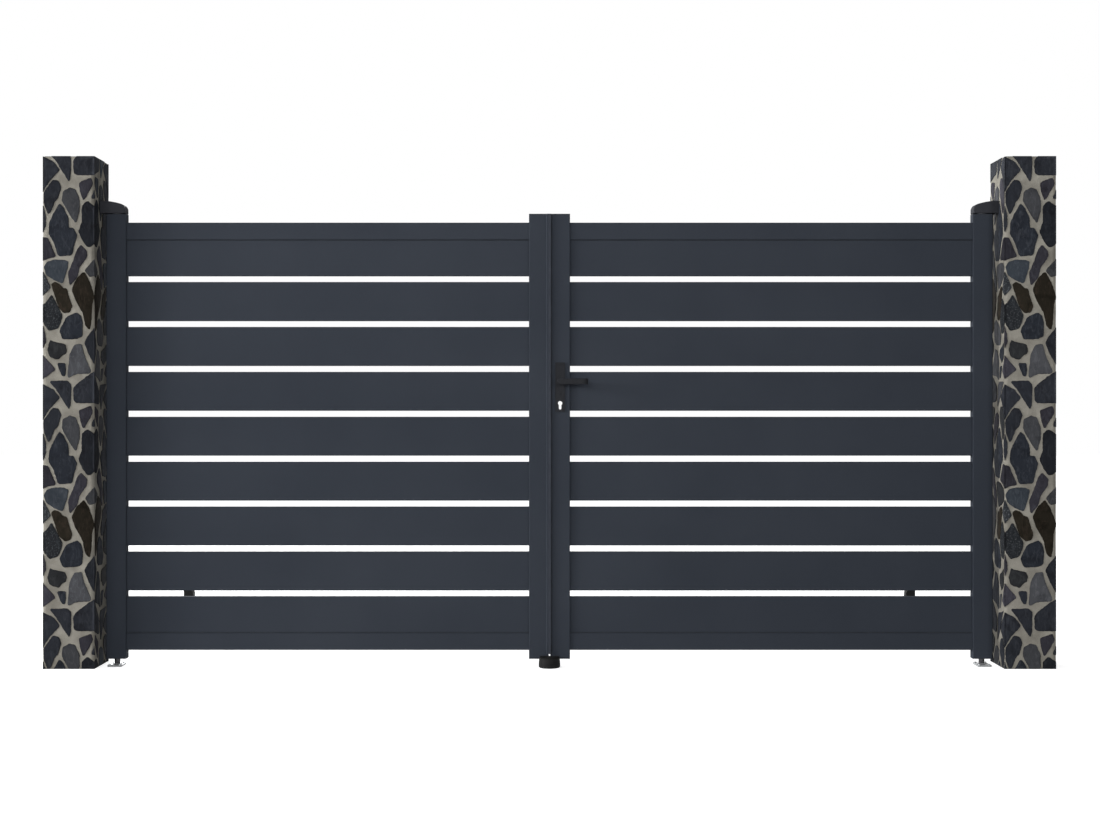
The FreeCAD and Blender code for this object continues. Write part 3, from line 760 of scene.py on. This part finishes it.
def add_top_stones(work, middle_x):
    """Stones bedded in the pillar's top, from another part of the same pattern."""
    half = PILLAR_SIDE / 2

    def place(u, v, d):
        z = PILLAR_HEIGHT - TOP_SUNK - d * TOP_FLATTENED
        return ((u - half + middle_x) * MM, (half - v) * MM, z * MM)

    for stone, (kind, tone, points) in enumerate(STONES):
        seed = TOP_SEEDS[0] + TOP_SEEDS[1] * stone
        line = [(u, v - TOP_START) for u, v in stone_outline(points, seed)]
        depths = [v for u, v in line]
        edge = TOP_MARGIN + TOP_SLIVER
        if max(depths) < edge or min(depths) > PILLAR_SIDE - edge:
            continue
        for axis in (0, 1):
            line = clip_line(line, axis, TOP_MARGIN, keep_below=False)
            line = clip_line(line, axis, PILLAR_SIDE - TOP_MARGIN, keep_below=True)
        if len(line) < TOP_MIN_POINTS:
            continue
        work.add(line, place, Vector(UP), kind, tone, seed, [False] * len(line))


def make_mortar(name, middle_x, bright):
    """The pillar's core with slightly uneven joints."""
    width = PILLAR_SIDE - 2 * STONE_PROUD
    top = PILLAR_HEIGHT - CORE_TOP_LOWER
    bm = bmesh.new()
    bmesh.ops.create_cube(bm, size=1.0)
    bmesh.ops.scale(bm, vec=(width * MM, width * MM, top * MM), verts=bm.verts)
    bmesh.ops.translate(bm, vec=(middle_x * MM, 0, top * MM / 2), verts=bm.verts)
    for axis, cuts in enumerate(CORE_CUTS):
        edges = [e for e in bm.edges
                 if abs((e.verts[0].co - e.verts[1].co)[axis]) > LONG_EDGE]
        bmesh.ops.subdivide_edges(bm, edges=edges, cuts=cuts, use_grid_fill=True)
    for vert in bm.verts:
        if vert.co.z < MM:
            continue
        wave = sum(noise.noise(vert.co * dense) * high for dense, high in CORE_WAVES)
        vert.co += vert.normal * (wave - CORE_SUNK) * MM
    for face in bm.faces:
        face.smooth = True
    mesh = new_mesh(name, bm, mortar)
    tones = mesh.attributes.new("tone", "FLOAT", "POINT")
    tones.data.foreach_set("value", [bright] * len(mesh.vertices))
    return new_object(name, mesh)


for side, (middle_x, drop, aside, mortar_bright, stone_bright) in PILLARS.items():
    work = make_stones(middle_x, drop, aside, stone_bright)
    add_top_stones(work, middle_x)
    stones = work.build(side + "_pillar_stones")
    core = make_mortar(side + "_pillar_mortar", middle_x, mortar_bright)
    for piece in (stones, core):
        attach(piece, "pillars")
    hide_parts(side + "_pillar")


# Fasteners

ROUND_STEPS = 24
HEXAGON = 6
# Each head's kind, radius and height
GROUND_BOLT = ("hex", 5.1, 4.2)
STOP_BOLT = ("hex", 7.2, 5.5)
HINGE_BOLT = ("hex", 8.0, 6.0)
LOCK_SCREW = ("screw", 3.2, 0.0)
# The nylon ring round a top pin, and its play up and down
WASHER_OUTER = 18.5
WASHER_INNER = 8.4
WASHER_PLAY = 0.3
WASHER_STEPS = 48


def ring_of(bm, radius, height, place, steps):
    """A ring of vertices round a matrix's z axis, all sizes in mm."""
    made = []
    for k in range(steps):
        angle = 2 * math.pi * k / steps
        point = Vector((radius * math.cos(angle), radius * math.sin(angle), height))
        made.append(bm.verts.new(place @ point * MM))
    return made


def join_rings(bm, rings):
    """Faces between each ring and the next."""
    for low, high in zip(rings, rings[1:]):
        for i in range(len(low)):
            j = (i + 1) % len(low)
            bm.faces.new((low[i], low[j], high[j], high[i]))


def turned(bm, profile, place, steps=ROUND_STEPS):
    """A turned head: profile is (radius, height) in mm from the seat up."""
    rings = [ring_of(bm, radius, height, place, steps) for radius, height in profile]
    join_rings(bm, rings)
    bm.faces.new(rings[-1])
    bm.faces.new(list(reversed(rings[0])))


def hex_head(bm, radius, height, place):
    """A hexagon head with a washer face below and turned-down corners on top."""
    turned(bm, [(radius * 1.12, 0.0), (radius * 1.12, 1.0), (radius * 0.98, 1.2)], place)
    head = [(radius, 1.2), (radius, height - 0.7), (radius * 0.88, height),
            (radius * 0.3, height + 0.15)]
    turned(bm, head, place, HEXAGON)


def screw_head(bm, radius, place):
    """A low domed head with a hexagon socket."""
    dome = [(radius, 0.0), (radius * 0.96, 0.35), (radius * 0.82, 0.7), (radius * 0.55, 0.85),
            (radius * 0.5, 0.8)]
    turned(bm, dome, place)
    turned(bm, [(radius * 0.42, 0.1), (radius * 0.42, 0.86)], place, HEXAGON)


def seat(x, y, z, toward):
    """A matrix that puts a head's seat at a point, in mm, with its top toward a direction."""
    turn = Vector(UP).rotation_difference(Vector(toward)).to_matrix().to_4x4()
    return Matrix.Translation((x, y, z)) @ turn


def mirror_x(x):
    """The same place on the gate's other half."""
    return 2 * GATE_MIDDLE_X - x


def fasteners(name, body, heads, material):
    """One piece with all the small heads that ride on one body."""
    bm = bmesh.new()
    for kind, radius, height, place in heads:
        if kind == "hex":
            hex_head(bm, radius, height, place)
        else:
            screw_head(bm, radius, place)
    for face in bm.faces:
        face.smooth = False
    made = new_object(name, new_mesh(name, bm, material))
    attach(made, body)


def washer(name, body, across):
    """The nylon ring round a top pin, between the stile's cap and the hinge."""
    low, high = LEAF_TOP + WASHER_PLAY, HINGE_BOTTOM - WASHER_PLAY
    profile = ((WASHER_INNER, low), (WASHER_OUTER, low), (WASHER_OUTER, high),
               (WASHER_INNER, high))
    bm = bmesh.new()
    axis = Matrix.Translation((across, 0, 0))
    rings = [ring_of(bm, radius, z, axis, WASHER_STEPS) for radius, z in profile]
    join_rings(bm, rings + rings[:1])
    bmesh.ops.recalc_face_normals(bm, faces=bm.faces)
    made = new_object(name, new_mesh(name, bm, washer_nylon))
    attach(made, body)


pillar_heads = []
for across in (HINGE_STILE_X, mirror_x(HINGE_STILE_X)):
    for x in (across - GROUND_BOLT_ASIDE, across + GROUND_BOLT_ASIDE):
        for y in GROUND_BOLT_Y:
            pillar_heads.append((*GROUND_BOLT, seat(x, y, GROUND_PLATE_TOP, UP)))
for x in (SIDE_STOP_X, mirror_x(SIDE_STOP_X)):
    for y in SIDE_STOP_BOLT_Y:
        pillar_heads.append((*STOP_BOLT, seat(x, y, SIDE_STOP_BASE_TOP, UP)))
for x in (GATE_MIDDLE_X - CENTRE_STOP_BOLT_ASIDE, GATE_MIDDLE_X + CENTRE_STOP_BOLT_ASIDE):
    pillar_heads.append((*STOP_BOLT, seat(x, CENTRE_STOP_BOLT_Y, CENTRE_STOP_BOLT_Z, UP)))
for x, toward in ((HINGE_PLATE_X, (1, 0, 0)), (mirror_x(HINGE_PLATE_X), (-1, 0, 0))):
    for y in (-HINGE_BOLT_Y, HINGE_BOLT_Y):
        pillar_heads.append((*HINGE_BOLT, seat(x, y, HINGE_BOLT_Z, toward)))
fasteners("anchor_bolts", "pillars", pillar_heads, zinc_screw)

lock_heads = []
for y, toward in ((-LOCK_PLATE_Y, (0, -1, 0)), (LOCK_PLATE_Y, (0, 1, 0))):
    for z in LOCK_SCREW_Z:
        lock_heads.append((*LOCK_SCREW, seat(LOCK_PLATE_X, y, z, toward)))
fasteners("lock_plate_screws", "right_leaf", lock_heads, materials["lever_coat"])

washer("left_hinge_washer", "left_leaf", HINGE_STILE_X)
washer("right_hinge_washer", "right_leaf", mirror_x(HINGE_STILE_X))


# Gaskets: dark rubber that also stands in as painted shadow

# The beads beside each rail, dark rubber that also lays a painted shadow line along the rail's
# joint: how far from its ends, their front and back, their height, and the share of a bead's least
# size that is bevelled
BEAD_END = 15.3
BEAD_Y = ((-14.6, -12.0), (12.0, 14.6))
BEAD_HEIGHT = 3.4
BEAD_BEVEL = 0.3
# The soft pad on the lip, from one corner to the other; its dark rubber on the right stile also
# stands in as painted shadow of the lip
LIP_SHADOW_PAD = ((1855.0, -22.2, STRIP_BOTTOM), (1860.5, -21.0, STRIP_TOP))


def bead(bm, low, high):
    """A soft bead: a bar from one corner to the other, in mm, with its long edges bevelled."""
    made = bmesh.ops.create_cube(bm, size=1.0)["verts"]
    middle = [(a + b) / 2 * MM for a, b in zip(low, high)]
    bmesh.ops.scale(bm, vec=[(b - a) * MM for a, b in zip(low, high)], verts=made)
    bmesh.ops.translate(bm, vec=middle, verts=made)
    edges = {edge for vert in made for edge in vert.link_edges}
    bevel = min(b - a for a, b in zip(low, high)) * BEAD_BEVEL * MM
    bmesh.ops.bevel(bm, geom=list(edges), offset=bevel, segments=2, profile=0.5, affect="EDGES")


def shadow_gasket(name, body, bars):
    """One piece with the soft beads that ride on one leaf, dark rubber that also serves as painted
    shadow.
    """
    bm = bmesh.new()
    for low, high in bars:
        bead(bm, low, high)
    made = new_object(name, new_mesh(name, bm, shadow_gasket_rubber))
    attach(made, body)


for side, body in (("left", "left_leaf"), ("right", "right_leaf")):
    bars = []
    for rail, upward in ((side + "_bottom_rail", True), (side + "_top_rail", False)):
        low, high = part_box(rail)
        x0, x1 = low.x / MM + BEAD_END, high.x / MM - BEAD_END
        z0 = high.z / MM if upward else low.z / MM - BEAD_HEIGHT
        for front, back in BEAD_Y:
            bars.append(((x0, front, z0), (x1, back, z0 + BEAD_HEIGHT)))
    shadow_gasket(side + "_rail_shadow_gaskets", body, bars)
shadow_gasket("right_lip_shadow_pad", "right_leaf", [LIP_SHADOW_PAD])


# Camera

camera_data = bpy.data.cameras.new("camera")
camera_data.sensor_fit = "HORIZONTAL"
camera_data.sensor_width = SENSOR_WIDTH
camera_data.lens = SENSOR_WIDTH * FOCAL_PIXELS / PHOTO_WIDTH
camera_data.shift_x = CENTRE_SHIFT[0] / PHOTO_WIDTH
camera_data.shift_y = CENTRE_SHIFT[1] / PHOTO_WIDTH
camera_data.clip_end = CLIP_END
camera = new_object("camera", camera_data)
camera.location = CAMERA_PLACE
camera.rotation_euler = (math.pi / 2, 0.0, 0.0)
bpy.context.scene.camera = camera


# Light, floor and background

WORLD_LIGHT = 0.3
# From the floor's middle to its side, in metres
FLOOR_HALF = 30.0
FLOOR_GREY = (0.6, 0.6, 0.6, 1.0)
# The floor's own share of white near the gate; it rises to full white between the two distances
FLOOR_GLOW = 0.79
FADE_START = 3.5
FADE_END = 9.0
# Each lamp's place, the point that it faces, its width and height, all in metres, its power in
# watts, and its fan in degrees
LAMPS = {
    "key": ((-6.0, -14.0, 5.5), (1.85, 0.0, 0.95), (6.0, 5.0), 510.0, 180.0),
    "side": ((-12.0, -5.5, 3.5), (1.85, 0.0, 0.95), (5.0, 4.0), 1140.0, 180.0),
    "low_side": ((-10.0, -2.6, 3.0), (1.85, 0.0, 0.95), (2.5, 3.0), 1120.0, 180.0),
    "pool": ((0.4, -6.8, 1.9), (1.25, 0.0, 0.9), (1.4, 1.2), 3.0, 34.0),
    "fill": ((9.0, -12.0, 3.5), (3.2, 0.0, 0.95), (3.0, 3.0), 535.0, 180.0),
    "back": ((-2.0, 7.0, 4.5), (1.85, 0.0, 0.9), (4.0, 3.0), 750.0, 180.0),
}


def shows_white(tree):
    """1 for rays that see the background: the camera's, and those by gloss or glass."""
    path = tree.nodes.new("ShaderNodeLightPath").outputs
    either = tree.math("MAXIMUM", path["Is Camera Ray"], path["Is Glossy Ray"])
    return tree.math("MAXIMUM", either, path["Is Transmission Ray"])


def set_world():
    """Even light on the object, and white where a ray sees the background."""
    world = bpy.data.worlds.new("studio")
    tree = Tree(world)
    tree.fill(tree.nodes["Background"].inputs, {
        "Color": WHITE,
        "Strength": tree.spread(shows_white(tree), (0.0, 1.0), (WORLD_LIGHT, 1.0)),
    })
    bpy.context.scene.world = world


def make_floor():
    """A dull floor with a glow for rays that see it, so that it melts into the background."""
    material, tree, shader = new_material("floor")
    tree.fill(shader, {"Base Color": FLOOR_GREY, "Roughness": 1.0, "Specular IOR Level": 0.0})
    away = tree.nodes.new("ShaderNodeVectorMath")
    away.operation = "LENGTH"
    tree.fill(away.inputs, {0: tree.place()})
    level = tree.spread(away.outputs["Value"], (FADE_START, FADE_END), (FLOOR_GLOW, 1.0))
    strength = tree.math("MULTIPLY", shows_white(tree), level)
    glow = tree.nodes.new("ShaderNodeEmission")
    tree.fill(glow.inputs, {"Color": WHITE, "Strength": strength})
    base = tree.nodes["Principled BSDF"]
    both = tree.nodes.new("ShaderNodeAddShader")
    tree.fill(both.inputs, {0: base.outputs["BSDF"], 1: glow.outputs["Emission"]})
    tree.fill(tree.nodes["Material Output"].inputs, {"Surface": both.outputs["Shader"]})
    bm = bmesh.new()
    bmesh.ops.create_grid(bm, x_segments=1, y_segments=1, size=FLOOR_HALF)
    floor = new_object("floor", new_mesh("floor", bm, material))
    floor.location = (GATE_MIDDLE_X * MM, 0.0, 0.0)


set_world()
make_floor()
for name, (place, target, (width, height), power, fan) in LAMPS.items():
    data = bpy.data.lights.new(name, "AREA")
    data.shape = "RECTANGLE"
    data.size = width
    data.size_y = height
    data.energy = power
    data.spread = math.radians(fan)
    lamp = new_object(name, data)
    lamp.location = place
    facing = Vector(target) - Vector(place)
    lamp.rotation_euler = facing.to_track_quat("-Z", "Y").to_euler()

bpy.context.scene.view_settings.view_transform = "Standard"
